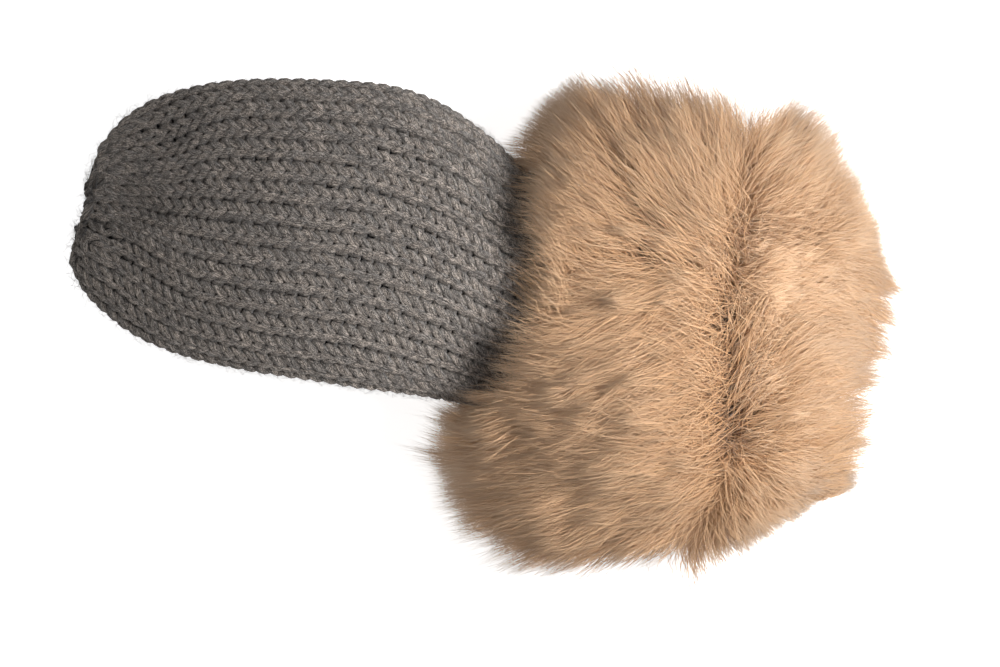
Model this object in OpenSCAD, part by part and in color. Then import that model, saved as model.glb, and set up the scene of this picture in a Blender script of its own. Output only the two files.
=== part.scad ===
// Knitted mitten for the right hand, lying palm down, with a long-pile fur cuff.
// Fingertips point to -X, the arm opening to +X, the back of the hand up.
// Millimetres. The lowest plane is Z = 0 and the overall box is centred on X and Y.

/* [Overall] */
// Length from the fingertips to the end of the pile
length = 275; // [220:1:330]
// Width over the pile
width = 162; // [130:1:200]
// Height of the wrist's centre above the surface
axis_z = 52; // [45:0.5:60]

/* [Knitted hand] */
// Thickness of the knitted fabric
knit_wall = 4.6; // [3:0.1:6]
// Thickness of the fleece lining
lining_wall = 1.6; // [1:0.1:3]
// Half thickness of the hand at the palm
hand_half_height = 20.5; // [16:0.5:26]
// Radius of the hole that the drawn yarn closes at the tip
gather_r = 3.2; // [2:0.1:5]

/* [Thumb] */
// Distance of the thumb hole's centre from the middle of the mitten
thumb_x = -16; // [-30:1:0]
// Sideways position of the thumb hole's centre
thumb_y = -13; // [-20:1:0]
// Outer radius of the knitted thumb
thumb_r = 14.5; // [12:0.5:17]
// Reach of the thumb from the centre of its hole
thumb_reach = 66; // [50:1:80]
// Thickness of the thumb's knitted fabric
thumb_wall = 3.6; // [2.5:0.1:5]
// Thickness of the thumb's fleece lining
thumb_lining_wall = 1.4; // [1:0.1:2]
// Gap between the thumb and the edge of its hole
thumb_gap = 0.5; // [0.3:0.1:1]

/* [Wrist] */
// Position of the wrist's bending axis along the mitten
wrist_x = 30; // [20:1:40]
// Radius of the round faces that meet where the wrist bends
wrist_r = 26.3; // [25:0.1:30]
// Gap between those faces
wrist_gap = 0.8; // [0.4:0.1:1.5]

/* [Cuff] */
// Half width inside the backing of the pile
sleeve_half_width = 40; // [34:0.5:48]
// Half height inside the backing of the pile
sleeve_half_height = 23; // [20:0.5:30]
// Thickness of the backing
backing_wall = 1.8; // [1:0.1:3]
// Position of the parting in the pile
parting_x = 91; // [80:1:100]
// Position of the cuff's open edge
open_x = 128; // [120:1:132]
// Radius of one knitted rib of the ribbed wrist
rib_r = 1.4; // [1:0.1:2]
// Number of ribs in the ribbed wrist
ribs = 36; // [24:2:48]

/* [Hidden] */
overlap = 0.01;
play = 0.1; // between soft layers that touch

// Cross sections of the hand: [x, thumb-side edge, outer edge, half height].
hand_sections = [
    [16, -39.5, 41.5, 21.5],
    [-4, -40, 52, 21],
    [-22, -41, 59.5, hand_half_height],
    [-44, -42.5, 62, hand_half_height],
    [-68, -45.5, 58.5, hand_half_height],
    [-90, -46, 53.5, 20],
    [-108, -43.5, 47, 18.5],
    [-121, -38.5, 39, 15.5],
    [-130, -32, 31, 11],
    [-135.5, -22, 18, 6.5],
    [-length / 2, -gather_r - 4, gather_r - 4, gather_r]
];
back_power = 2.3; // how square the back of the hand is
palm_power = 3; // how square the palm is
hand_points = 40;
hand_steps = 2; // rings between two cross sections
tip_y = -4; // sideways position of the gather

bind_wall = 1;
bind_width = 5;
pile_end = open_x - bind_width - 0.3; // where the pile's root stops short of the binding

// Profiles of the pile: [x, share of the way from the backing to the outline].
hand_side_profile = [
    [37, 0], [24, 0.42], [14, 0.8], [15, 0.95], [32, 1], [64, 1], [80, 0.94],
    [parting_x - 0.3, 0.62], [parting_x - 0.3, 0]
];
arm_side_profile = [
    [parting_x + 0.3, 0], [parting_x + 0.3, 0.62], [100, 0.92], [112, 0.94], [124, 0.8],
    [133, 0.55], [length / 2, 0.3], [134, 0.16], [pile_end, 0.12], [pile_end, 0]
];
pile_points = 40;
pile_top = 56; // from the wrist's centre to the top of the pile
pile_power = 2.2;

stitch_r = 0.4;
stitch_length = 3.6;
edge_stitches = 30;
elastic_wall = 1.1;
elastic_width = 10;
rib_end = parting_x - 7;
thumb_z = thumb_r + 0.05;
bend_r = thumb_r + 2;
collar_top = thumb_z + bend_r + 5.5;
hole_edge_wall = 2.4;
hole_edge_bottom = thumb_z + bend_r;
hole_edge_top = hole_edge_bottom + 8;

wool = [0.36, 0.36, 0.35];
fleece = [0.24, 0.24, 0.25];
fur = [0.83, 0.7, 0.54];
cloth = [0.66, 0.55, 0.43];
thread = [0.55, 0.46, 0.36];

// ---- Shared shapes ----

// A value on the smooth curve through the rows of a list, t counted in rows.
function along(rows, t) =
    let (
        last = len(rows) - 1,
        i = min(floor(t), last - 1),
        f = t - i,
        a = rows[max(i - 1, 0)],
        b = rows[i],
        c = rows[i + 1],
        d = rows[min(i + 2, last)]
    )
    b + f / 2 * ((c - a) + f * ((2 * a - 5 * b + 4 * c - d) + f * (3 * b - a - 3 * c + d)));

function signed_power(v, p) = sign(v) * pow(abs(v), p);

// A closed rounded outline in the YZ plane, with its own squareness above and below.
function oval(x, y, z, half_width, half_height, top_power, bottom_power, count) = [
    for (i = [0:count - 1])
        let (
            turn = 360 * i / count,
            p = 2 / (sin(turn) >= 0 ? top_power : bottom_power)
        )
        [x, y + half_width * signed_power(cos(turn), p), z + half_height * signed_power(sin(turn), p)]
];

// Joins rings of points into one solid. The rings of an outer face run toward +X, those of an
// inner face toward -X. A looped solid joins its last ring to its first.
module loft(rings, looped = false) {
    count = len(rings[0]);
    spans = looped ? len(rings) : len(rings) - 1;
    points = [for (ring = rings) for (p = ring) p];
    sides = [
        for (r = [0:spans - 1])
            for (i = [0:count - 1])
                let (
                    j = (i + 1) % count,
                    next = (r + 1) % len(rings),
                    a = r * count + i,
                    b = r * count + j,
                    c = next * count + j,
                    d = next * count + i
                )
                each [[a, d, b], [b, d, c]]
    ];
    caps = looped ? [] : [
        [for (i = [0:count - 1]) i],
        [for (i = [count - 1:-1:0]) (len(rings) - 1) * count + i]
    ];
    polyhedron(points, concat(sides, caps), convexity = 8);
}

// The flattened outline of the sleeve, grown by an offset.
module sleeve_outline(grow) {
    r = sleeve_half_height + grow;
    middle = sleeve_half_width - sleeve_half_height;
    square([2 * middle, 2 * r], center = true);
    for (side = [-1, 1])
        translate([side * middle, 0])
            circle(r, $fn = 72);
}

// Turns a flat outline into a solid from one X to another, its first axis along Y.
module run(from, to) {
    translate([from, 0, axis_z])
        rotate([90, 0, 90])
            linear_extrude(to - from)
                children();
}

module sleeve_ring(from, to, inner, outer) {
    run(from, to)
        difference() {
            sleeve_outline(outer);
            sleeve_outline(inner);
        }
}

// A point on the sleeve outline, [y, z, turn], at a share of the way round.
function sleeve_place(share, grow) =
    let (
        r = sleeve_half_height + grow,
        middle = sleeve_half_width - sleeve_half_height,
        flat = 2 * middle,
        arc = PI * r,
        s = share * 2 * (flat + arc)
    )
    s < flat ? [middle - s, r, 90]
    : s < flat + arc ? let (t = 90 + 180 * (s - flat) / arc) [-middle + r * cos(t), r * sin(t), t]
    : s < 2 * flat + arc ? [s - flat - arc - middle, -r, 270]
    : let (t = 270 + 180 * (s - 2 * flat - arc) / arc) [middle + r * cos(t), r * sin(t), t];

// Stitches lying along X round the sleeve.
module stitches_round(from, grow) {
    for (i = [0:edge_stitches - 1]) {
        place = sleeve_place((i + 0.5) / edge_stitches, grow + stitch_r);
        translate([from, place[0], axis_z + place[1]])
            rotate([0, 90, 0])
                cylinder(h = stitch_length, r = stitch_r, $fn = 16);
    }
}

// ---- The knitted hand ----

// One ring of the hand, inset from the knit's outer face. Ring 0 is at the wrist.
function hand_ring(t, inset) =
    let (
        s = along(hand_sections, t),
        x = 16 + (s[0] - 16) * (length / 2 + 16 - inset) / (length / 2 + 16),
        half_width = max((s[2] - s[1]) / 2 - inset, gather_r),
        half_height = max(s[3] - inset, gather_r),
        ring = oval(x, (s[1] + s[2]) / 2, axis_z, half_width, half_height, back_power, palm_power, hand_points)
    )
    t > 0 ? ring
    // The wrist end follows the round face that the wrist bends on.
    : [for (p = ring) [wrist_x - sqrt(pow(wrist_r, 2) - pow(p[2] - axis_z, 2)), p[1], p[2]]];

// No ring stands between the first two sections, because the round face dips that far.
hand_rings = concat([0], [for (i = [hand_steps:hand_steps * (len(hand_sections) - 1)]) i / hand_steps]);
function reversed(list) = [for (i = [len(list) - 1:-1:0]) list[i]];

module thumb_opening() {
    translate([thumb_x, thumb_y, hole_edge_bottom - 6])
        cylinder(h = 18, r = thumb_r + thumb_gap + hole_edge_wall + play, $fn = 72);
}

module hand_shell() {
    outer = [for (t = reversed(hand_rings)) hand_ring(t, 0)];
    inner = [for (t = hand_rings) hand_ring(t, knit_wall)];
    color(wool)
        difference() {
            loft(concat(outer, inner), looped = true);
            thumb_opening();
        }
}

module hand_lining() {
    skin = knit_wall + play;
    outer = [for (t = reversed(hand_rings)) hand_ring(t, skin)];
    inner = [for (t = hand_rings) hand_ring(t, skin + lining_wall)];
    color(fleece)
        difference() {
            loft(concat(outer, inner));
            thumb_opening();
        }
}

module drawn_yarn(ring_r, yarn_r) {
    rotate([0, 90, 0])
        rotate_extrude($fn = 48)
            translate([ring_r - yarn_r, 0])
                circle(yarn_r, $fn = 24);
}

module hand_tip_gather() {
    yarn_r = 1.4;
    color(wool)
        translate([yarn_r - length / 2, tip_y, axis_z])
            drawn_yarn(gather_r - play, yarn_r);
}

module thumb_hole_edge() {
    inner = thumb_r + thumb_gap;
    color(wool)
        translate([thumb_x, thumb_y, hole_edge_bottom])
            difference() {
                cylinder(h = hole_edge_top - hole_edge_bottom, r = inner + hole_edge_wall, $fn = 72);
                translate([0, 0, -overlap])
                    cylinder(h = hole_edge_top, r = inner, $fn = 72);
            }
}

// ---- The thumb ----

// The thumb's elbow and tube of one radius, with a rounded tip. The top stands above the hole.
module thumb_form(r, top, reach) {
    translate([thumb_x, thumb_y, thumb_z + bend_r])
        cylinder(h = top - thumb_z - bend_r, r = r, $fn = 72);
    translate([thumb_x - bend_r, thumb_y, thumb_z + bend_r])
        rotate([90, 0, 0])
            rotate_extrude(angle = -90, $fn = 72)
                translate([bend_r, 0])
                    circle(r, $fn = 72);
    translate([thumb_x - bend_r, thumb_y, thumb_z])
        rotate([0, -90, 0]) {
            cylinder(h = reach - bend_r - r, r = r, $fn = 72);
            translate([0, 0, reach - bend_r - r])
                sphere(r, $fn = 72);
        }
}

module thumb_shell() {
    color(wool)
        difference() {
            thumb_form(thumb_r, collar_top, thumb_reach);
            thumb_form(thumb_r - thumb_wall, collar_top + 1, thumb_reach - thumb_wall);
            translate([thumb_x - thumb_reach - 1, thumb_y, thumb_z])
                rotate([0, 90, 0])
                    cylinder(h = thumb_wall + 3, r = 2.6, $fn = 36);
        }
}

module thumb_tip_gather() {
    yarn_r = 1.1;
    color(wool)
        translate([thumb_x - thumb_reach + yarn_r + 0.4, thumb_y, thumb_z])
            drawn_yarn(2.5, yarn_r);
}

module thumb_lining() {
    skin = thumb_wall + play;
    inner_skin = skin + thumb_lining_wall;
    color(fleece)
        difference() {
            thumb_form(thumb_r - skin, collar_top, thumb_reach - skin);
            thumb_form(thumb_r - inner_skin, collar_top + 1, thumb_reach - inner_skin);
        }
}

// ---- The cuff ----

module wrist_rib() {
    crest = -play - elastic_wall - rib_r;
    round_r = wrist_r - wrist_gap;
    front = wrist_x - round_r;
    color(wool)
        difference() {
            run(front, rib_end)
                difference() {
                    union() {
                        sleeve_outline(crest);
                        for (i = [0:ribs - 1]) {
                            place = sleeve_place((i + 0.5) / ribs, crest);
                            translate([place[0], place[1]])
                                circle(rib_r, $fn = 24);
                        }
                    }
                    sleeve_outline(crest - 2);
                }
            // Ahead of the bending axis only what lies inside the round face stays.
            difference() {
                translate([front - 1, -width / 2, 0])
                    cube([round_r + 1, width, 2 * axis_z]);
                translate([wrist_x, -width, axis_z])
                    rotate([-90, 0, 0])
                        cylinder(h = 2 * width, r = round_r, $fn = 120);
            }
        }
}

module cuff_backing() {
    color(cloth)
        sleeve_ring(wrist_x + 0.5, open_x - bind_wall - play, 0, backing_wall);
}

module wrist_elastic() {
    color(cloth)
        sleeve_ring(
            parting_x - elastic_width / 2 + 1,
            parting_x + elastic_width / 2 + 1,
            -play - elastic_wall,
            -play
        );
}

module cuff_hem_binding() {
    from = open_x - bind_width;
    color(cloth) {
        sleeve_ring(from, open_x, backing_wall + play, backing_wall + play + bind_wall);
        sleeve_ring(from, open_x, -play - bind_wall, -play);
        sleeve_ring(open_x - bind_wall, open_x, -play - bind_wall, backing_wall + play + bind_wall);
    }
}

// A point of the pile: shares run from the backing's face to the outline, and stop at the surface.
function pile_point(x, share, turn) =
    let (
        root = backing_wall + play,
        p = 2 / pile_power,
        half_width = (sleeve_half_width + root) * (1 - share) + width / 2 * share,
        half_height = (sleeve_half_height + root) * (1 - share) + pile_top * share,
        // Near the root the outline is the sleeve's own.
        middle = (sleeve_half_width - sleeve_half_height) * (1 - share),
        y = (half_width - middle) * signed_power(cos(turn), 1 + (p - 1) * share)
            + middle * sign(round(cos(turn) * 1000)),
        z = half_height * signed_power(sin(turn), 1 + (p - 1) * share)
    )
    [x, y, max(axis_z + z, 0)];

module pile(profile) {
    rings = [
        for (i = [0:pile_points - 1])
            // Half a step round, so that no point falls on the flat's middle.
            let (turn = 360 * (i + 0.5) / pile_points)
            [for (p = reversed(profile)) pile_point(p[0], p[1], turn)]
    ];
    loft(rings, looped = true);
}

module fur_pile_hand_side() {
    color(fur)
        pile(hand_side_profile);
}

module fur_pile_arm_side() {
    color(fur)
        pile(arm_side_profile);
}

module front_seam_stitches() {
    color(thread)
        stitches_round(wrist_x + 1.5, backing_wall + play);
}

module hem_stitches() {
    color(thread)
        stitches_round(open_x - 4.3, backing_wall + bind_wall + 2 * play);
}

module back_seam_stitches() {
    pitch = 3.2;
    slant = 30;
    inset = 0.9;
    arm_side = parting_x + elastic_width / 2 + 4;
    starts = concat(
        [for (x = [wrist_x + 4:pitch:parting_x - elastic_width / 2 - 3]) x],
        [for (x = [arm_side:pitch:open_x - bind_width - 3]) x]
    );
    color(thread)
        for (x = starts)
            translate([x, 0, axis_z - sleeve_half_height + play + stitch_r])
                rotate([0, 0, slant])
                    rotate([0, 90, 0])
                        cylinder(h = pitch - inset, r = stitch_r, $fn = 16);
}

hand_shell();
hand_tip_gather();
hand_lining();
thumb_hole_edge();
thumb_shell();
thumb_tip_gather();
thumb_lining();
wrist_rib();
cuff_backing();
fur_pile_hand_side();
fur_pile_arm_side();
wrist_elastic();
cuff_hem_binding();
front_seam_stitches();
hem_stitches();
back_seam_stitches();
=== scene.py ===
"""A knitted mitten with a long-pile fur cuff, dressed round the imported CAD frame."""

import math
from types import SimpleNamespace

import bpy
import numpy as np
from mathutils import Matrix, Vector


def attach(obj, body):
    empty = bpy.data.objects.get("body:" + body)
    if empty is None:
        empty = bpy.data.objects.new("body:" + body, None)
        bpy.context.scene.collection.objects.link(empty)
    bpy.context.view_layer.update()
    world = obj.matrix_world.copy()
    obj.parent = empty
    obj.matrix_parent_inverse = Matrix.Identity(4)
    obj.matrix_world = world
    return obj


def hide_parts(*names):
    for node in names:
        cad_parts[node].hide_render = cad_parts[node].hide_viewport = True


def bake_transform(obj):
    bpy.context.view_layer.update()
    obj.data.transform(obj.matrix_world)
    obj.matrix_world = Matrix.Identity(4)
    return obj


MM = 0.001
TURN = 2 * math.pi
rng = np.random.default_rng(11)

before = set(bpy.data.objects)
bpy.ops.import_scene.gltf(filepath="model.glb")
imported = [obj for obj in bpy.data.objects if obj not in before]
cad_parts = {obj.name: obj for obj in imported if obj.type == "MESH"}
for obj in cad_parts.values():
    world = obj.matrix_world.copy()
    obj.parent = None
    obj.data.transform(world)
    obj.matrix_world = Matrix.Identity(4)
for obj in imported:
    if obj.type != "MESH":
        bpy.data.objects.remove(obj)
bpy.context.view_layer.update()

# The same places as in the CAD, in millimetres.
AXIS_Z = 52.0
WRIST_X = 30.0
PARTING_X = 91.0
OPEN_X = 128.0
RIB_END = 84.0
SLEEVE_HALF_WIDTH = 40.0
SLEEVE_HALF_HEIGHT = 23.0
BACKING_THICKNESS = 1.8
THUMB_X, THUMB_Y = -16.0, -13.0
THUMB_R = 14.5
THUMB_BEND_R = THUMB_R + 2
THUMB_Z = THUMB_R + 0.05
THUMB_REACH = 66.0
THUMB_TOP = THUMB_Z + THUMB_BEND_R + 5.5
HOLE_R = THUMB_R + 0.5

# The knit's gauge.
STITCH_WIDTH = 7.6
COURSE_HEIGHT = 4.6
HAND_STITCHES = 32
THUMB_STITCHES = 12
HAND_FUZZ = 6000
THUMB_FUZZ = 1300
RIB_STITCHES = 36
RIB_COURSES = 11
RIB_STITCH_WIDTH = 5.2
CROWDED = 0.5  # stitches narrower than this share of the gauge are worked two together
FEWEST_STITCHES = 10
YARN_R = 1.42
THINNEST, THICKEST = 0.45, 1.08  # limits of a stitch's width against the gauge, where the yarn follows it
PLY_PITCH = 13.0  # the plies go round the yarn once in this length
PATTERN_STEP = 17.0  # how much further along the wool's pattern each next strand starts
LOOP_POINTS = 14  # points along one stitch
LOOP_SWAY = 0.262  # how far a stitch's legs lean, as a share of its width
LOOP_DEPTH = 1.15  # how far a stitch's legs stand in front of its ends
LOOP_ROUND = 0.55  # how far each column's middle stands in front of its sides
LOOP_GAP = 0.055  # how far the tops of the legs keep off the next column, as a share of its width
LOOP_RISE = 0.93  # how far a loop reaches up and down from the middle of its course, in courses
UNEVEN_LEAN = 0.045  # how much stitches differ in lean, in rise and in thickness
UNEVEN_RISE = 0.05
UNEVEN_YARN = 0.06
START_MARGIN = 0.2  # how far loops keep off the skin's start and its tip, in courses
TIP_MARGIN = 1.1
FLATTEST = 0.35  # how thick the knit is at the tip, and how much thicker with each course before it
FLATTENING = 0.16
KNIT_HALF = YARN_R + LOOP_DEPTH


# ---- Small tools ----


def smooth_step(x):
    x = np.clip(x, 0, 1)
    return x * x * (3 - 2 * x)


def bump_at(x, centre, width):
    """A rounded bump of height 1."""
    return np.exp(-(((x - centre) / width) ** 2))


def signed_power(v, p):
    return np.sign(v) * np.abs(v) ** p


def unit(v):
    return v / np.maximum(np.linalg.norm(v, axis=-1, keepdims=True), 1e-9)


def add_mesh(name, points, faces):
    """A smooth mesh object from points in millimetres and a list of equal-sided face arrays."""
    mesh = bpy.data.meshes.new(name)
    mesh.vertices.add(len(points))
    mesh.vertices.foreach_set("co", (np.asarray(points, np.float32) * MM).ravel())
    corners = np.concatenate([f.ravel() for f in faces]).astype(np.int32)
    sides = np.concatenate([np.full(len(f), f.shape[1]) for f in faces])
    starts = np.concatenate([[0], np.cumsum(sides)[:-1]]).astype(np.int32)
    mesh.loops.add(len(corners))
    mesh.loops.foreach_set("vertex_index", corners)
    mesh.polygons.add(len(sides))
    mesh.polygons.foreach_set("loop_start", starts)
    mesh.polygons.foreach_set("use_smooth", np.full(len(sides), True))
    mesh.update(calc_edges=True)
    mesh.validate()
    obj = bpy.data.objects.new(name, mesh)
    bpy.context.scene.collection.objects.link(obj)
    return obj


def add_layout(obj, places):
    """Gives each corner a place, [across, along], from its point. Patterns use it."""
    mesh = obj.data
    corners = np.empty(len(mesh.loops), np.int32)
    mesh.loops.foreach_get("vertex_index", corners)
    layer = mesh.uv_layers.new(name="OFBake")
    layer.data.foreach_set("uv", np.asarray(places, np.float32)[corners].ravel())


def add_values(obj, name, values):
    attribute = obj.data.attributes.new(name, "FLOAT", "POINT")
    attribute.data.foreach_set("value", np.asarray(values, np.float32))


# ---- Skins: curved surfaces that fabric is laid on ----


class Skin:
    """A tube given by a grid of points, [round, along, xyz]. Round closes on itself."""

    def __init__(self, grid):
        self.grid = grid
        round_step = np.roll(grid, -1, axis=0) - np.roll(grid, 1, axis=0)
        along_step = np.gradient(grid, axis=1)
        outward = np.cross(along_step, round_step)
        # A small dent doesn't turn what lies on the skin: each direction is averaged with its neighbours'.
        for _ in range(4):
            outward = (np.roll(outward, 2, axis=0) + np.roll(outward, -2, axis=0) + 2 * outward) / 4
            outward[:, 2:-2] = (outward[:, :-4] + outward[:, 4:] + 2 * outward[:, 2:-2]) / 4
        self.normals = unit(outward)
        steps = np.linalg.norm(np.diff(grid, axis=1), axis=2)
        self.length = steps.sum(axis=1).mean()
        closed = np.concatenate([grid, grid[:1]])
        self.girth = np.linalg.norm(np.diff(closed, axis=0), axis=2).sum(axis=0)

    def _mix(self, table, turns, share):
        rounds, alongs = table.shape[:2]
        a = (turns % 1.0) * rounds
        b = np.clip(share, 0, 1) * (alongs - 1)
        i = np.floor(a).astype(int) % rounds
        j = np.minimum(np.floor(b).astype(int), alongs - 2)
        fa = (a - np.floor(a))[..., None]
        fb = (b - j)[..., None]
        k = (i + 1) % rounds
        near = table[i, j] * (1 - fa) + table[k, j] * fa
        far = table[i, j + 1] * (1 - fa) + table[k, j + 1] * fa
        return near * (1 - fb) + far * fb

    def place(self, turns, share, out):
        return self._mix(self.grid, turns, share) + self.normal(turns, share) * out[..., None]

    def normal(self, turns, share):
        return unit(self._mix(self.normals, turns, share))

    def girth_at(self, share):
        return np.interp(share, np.linspace(0, 1, len(self.girth)), self.girth)


def even_round(ring, count, crowd=0.0):
    """A closed ring of points, respaced evenly, starting at its first point.

    With crowd, the points stand closer together a quarter and three quarters of the way round.
    """
    closed = np.concatenate([ring, ring[:1]])
    run = np.concatenate([[0], np.cumsum(np.linalg.norm(np.diff(closed, axis=0), axis=1))])
    if run[-1] < 1e-6:
        return np.repeat(ring[:1], count, axis=0)
    share = np.linspace(0, 1, count, endpoint=False)
    wanted = run[-1] * (share + crowd / TURN * np.sin(2 * TURN * share))
    return np.stack([np.interp(wanted, run, closed[:, i]) for i in range(3)], axis=1)


def through(rows, t):
    """Smooth values through the rows of a table, t counted in rows."""
    rows = np.asarray(rows, float)
    last = len(rows) - 1
    i = np.clip(np.floor(t).astype(int), 0, last - 1)
    f = (t - i)[:, None]
    a, b, c, d = (rows[np.clip(i + k, 0, last)] for k in (-1, 0, 1, 2))
    return b + f / 2 * ((c - a) + f * ((2 * a - 5 * b + 4 * c - d) + f * (3 * b - a - 3 * c + d)))


# Cross sections of the hand: x, thumb-side edge, outer edge, half height, height of the middle.
HAND_SECTIONS = [
    [44, -37, 39, 20.5, AXIS_Z],
    [28, -38.5, 40.5, 21, AXIS_Z],
    [10, -39.5, 43.5, 21.5, AXIS_Z],
    [-6, -40, 53, 21, AXIS_Z],
    [-24, -41, 60, 20.5, AXIS_Z],
    [-44, -42.5, 62, 20.5, AXIS_Z],
    [-68, -45.5, 58.5, 20, AXIS_Z - 0.5],
    [-90, -46, 53.5, 18, AXIS_Z - 2],
    [-108, -43.5, 47.5, 15.4, AXIS_Z - 3.5],
    [-121, -38.5, 40.5, 12.4, AXIS_Z - 4],
    [-130.5, -32.5, 31.5, 9.6, AXIS_Z - 3.5],
    [-136, -24.5, 20, 6.8, AXIS_Z - 2.5],
    [-137.4, -15, 8, 4.6, AXIS_Z - 1],
    [-136.8, -8, 0, 2.6, AXIS_Z],
    [-136.2, -4.6, -3.4, 0.4, AXIS_Z + 0.4],
]
# Folds that run out from the drawn-up tip: place round the hand, depth, half width, reach.
TIP_FOLDS = [
    (0.15, 1.8, 0.022, 26),
    (0.06, 1.4, 0.02, 20),
    (0.44, 1.6, 0.018, 22),
    (0.53, 2.2, 0.02, 24),
    (0.64, 2.6, 0.02, 26),
    (0.75, 3.0, 0.02, 30),
    (0.86, 2.6, 0.02, 26),
    (0.95, 2.0, 0.02, 22),
]
# Wide valleys in the back of the hand that run to the gather: start, end, depth, half width.
TIP_VALLEYS = [
    ((-134, -4), (-94, 8), 9.0, 6.5),
    ((-135, -6), (-104, -20), 4.2, 4.4),
    ((-131, 0), (-114, 20), 3.0, 3.6),
]
# Rounded lobes in the back of the hand near the tip: height, x, y, reach in x, reach in y.
# A height below zero is a hollow.
TIP_BUMPS = [
    (3.0, -128, -21, 8, 8),
    (-3.0, -96, 14, 24, 19),
    (-3.8, -116, 27, 10, 9),
]


def valley(grid, start, end, depth, half_width):
    """How far a valley between two places on the back of the hand sinks each point."""
    start, end = np.array(start, float), np.array(end, float)
    line = end - start
    offset = grid[..., :2] - start
    share = np.clip((offset @ line) / (line @ line), 0, 1)
    away = np.linalg.norm(offset - share[..., None] * line, axis=-1)
    fade = smooth_step(0.25 + share * 2) * (1 - smooth_step(share)) ** 0.7
    return depth * fade * bump_at(away, 0, half_width * (0.7 + 0.9 * share))


def hand_rings(inset, rounds, alongs):
    """Rings of points through the hand's cross sections, closer together at the sides near the tip."""
    rows = through(HAND_SECTIONS, np.linspace(0, len(HAND_SECTIONS) - 1, alongs))
    angle = np.linspace(0, TURN, 720, endpoint=False)
    power = np.where(np.sin(angle) >= 0, 2 / 2.3, 2 / 3.0)
    grid = np.empty((rounds, alongs, 3))
    for j, (x, low, high, half_height, middle) in enumerate(rows):
        half_width = max((high - low) / 2 - inset, 0.3)
        half_height = max(half_height - inset, 0.2)
        ring = np.stack([
            np.full_like(angle, x),
            (low + high) / 2 + half_width * signed_power(np.cos(angle), power),
            middle + half_height * signed_power(np.sin(angle), power),
        ], axis=1)
        # The stitches draw together toward the gather.
        grid[:, j] = even_round(ring, rounds, 0.2 * smooth_step((-90 - x) / 34))
    return grid


def level_rows(grid, even):
    """The grid respaced so that courses are level at the wrist and all end at the tip together."""
    run = np.concatenate([
        np.zeros((len(grid), 1)),
        np.cumsum(np.linalg.norm(np.diff(grid, axis=1), axis=2), axis=1),
    ], axis=1)
    mean_length = run[:, -1].mean()
    levelled = np.empty_like(grid)
    for i, steps in enumerate(run):
        wanted = mean_length * even * (1 - even**3) + steps[-1] * even**4
        levelled[i] = np.stack([np.interp(wanted, steps, grid[i, :, k]) for k in range(3)], axis=1)
    return levelled


def hand_grid(inset):
    """The hand's surface, inset from the outer face of the knit, from the wrist to the gathered tip."""
    rounds, alongs = 320, 360
    even = np.linspace(0, 1, alongs)
    grid = level_rows(hand_rings(inset, rounds, alongs), even)
    skin = Skin(grid)
    to_tip = skin.length * (1 - even)[None, :]
    turns = (np.arange(rounds) / rounds)[:, None]
    push = np.zeros((rounds, alongs))
    for at, depth, width, reach in TIP_FOLDS:
        away = (turns - at + 0.5) % 1.0 - 0.5
        push -= depth * bump_at(away, 0, width) * smooth_step(to_tip / 9) * (1 - smooth_step(to_tip / reach))
        # The knit puffs up between the folds.
        push += 0.3 * depth * bump_at(np.abs(away), 3.2 * width, 2 * width) * bump_at(to_tip, 13, 12)
    x, y, z = np.moveaxis(grid, -1, 0)
    # The back of the hand is uneven, but not right at the gather, where the skin would fold over itself.
    top = smooth_step((z - AXIS_Z) / 6 + 0.5) * smooth_step((to_tip - 3) / 9)
    for start, end, depth, half_width in TIP_VALLEYS:
        push -= top * valley(grid, start, end, depth, half_width)
    for height, at_x, at_y, reach_x, reach_y in TIP_BUMPS:
        push += height * top * bump_at(x, at_x, reach_x) * bump_at(y, at_y, reach_y)
    push += 1.2 * top * np.sin(x / 17 + 0.6) * np.sin(y / 21 + 0.4) * smooth_step(to_tip / 60)
    return grid + skin.normals * push[..., None]


def thumb_grid(inset):
    """The thumb's surface: down from the palm, round the bend, and along to a rounded tip."""
    rounds = 160
    r = THUMB_R - inset
    collar = THUMB_TOP - THUMB_Z - THUMB_BEND_R
    bend = THUMB_BEND_R * math.pi / 2
    straight = THUMB_REACH - THUMB_BEND_R - THUMB_R
    cap = r * math.pi / 2
    run = np.linspace(0, collar + bend + straight + cap, 260)
    turns = np.linspace(0, TURN, rounds, endpoint=False)
    grid = np.empty((rounds, len(run), 3))
    for j, s in enumerate(run):
        lean = np.clip((s - collar) / THUMB_BEND_R, 0, math.pi / 2)
        ahead = max(s - collar - bend, 0)
        tip = max(ahead - straight, 0)
        centre = np.array([
            THUMB_X - THUMB_BEND_R * (1 - math.cos(lean)) - min(ahead, straight),
            THUMB_Y,
            THUMB_Z + THUMB_BEND_R * (1 - math.sin(lean)) + max(collar - s, 0),
        ])
        forward = np.array([-math.sin(lean), 0, -math.cos(lean)])
        side = np.array([0.0, 1.0, 0.0])
        up = np.cross(side, forward)
        ring_r = r * math.cos(tip / r) + 0.02
        grid[:, j] = (
            centre
            + forward * r * math.sin(tip / r)
            + ring_r * (np.cos(turns)[:, None] * side + np.sin(turns)[:, None] * up)
        )
    return grid


SLEEVE_ROUNDS = 360


def sleeve_ring(grow):
    """The cuff's flattened outline, grown by an offset, as evenly spaced points at X = 0."""
    r = SLEEVE_HALF_HEIGHT + grow
    middle = SLEEVE_HALF_WIDTH - SLEEVE_HALF_HEIGHT
    angle = np.linspace(0, TURN, 720, endpoint=False)
    y = r * np.cos(angle) + middle * np.tanh(np.cos(angle) * 60)
    return even_round(np.stack([np.zeros_like(y), y, AXIS_Z + r * np.sin(angle)], axis=1), SLEEVE_ROUNDS)


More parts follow.
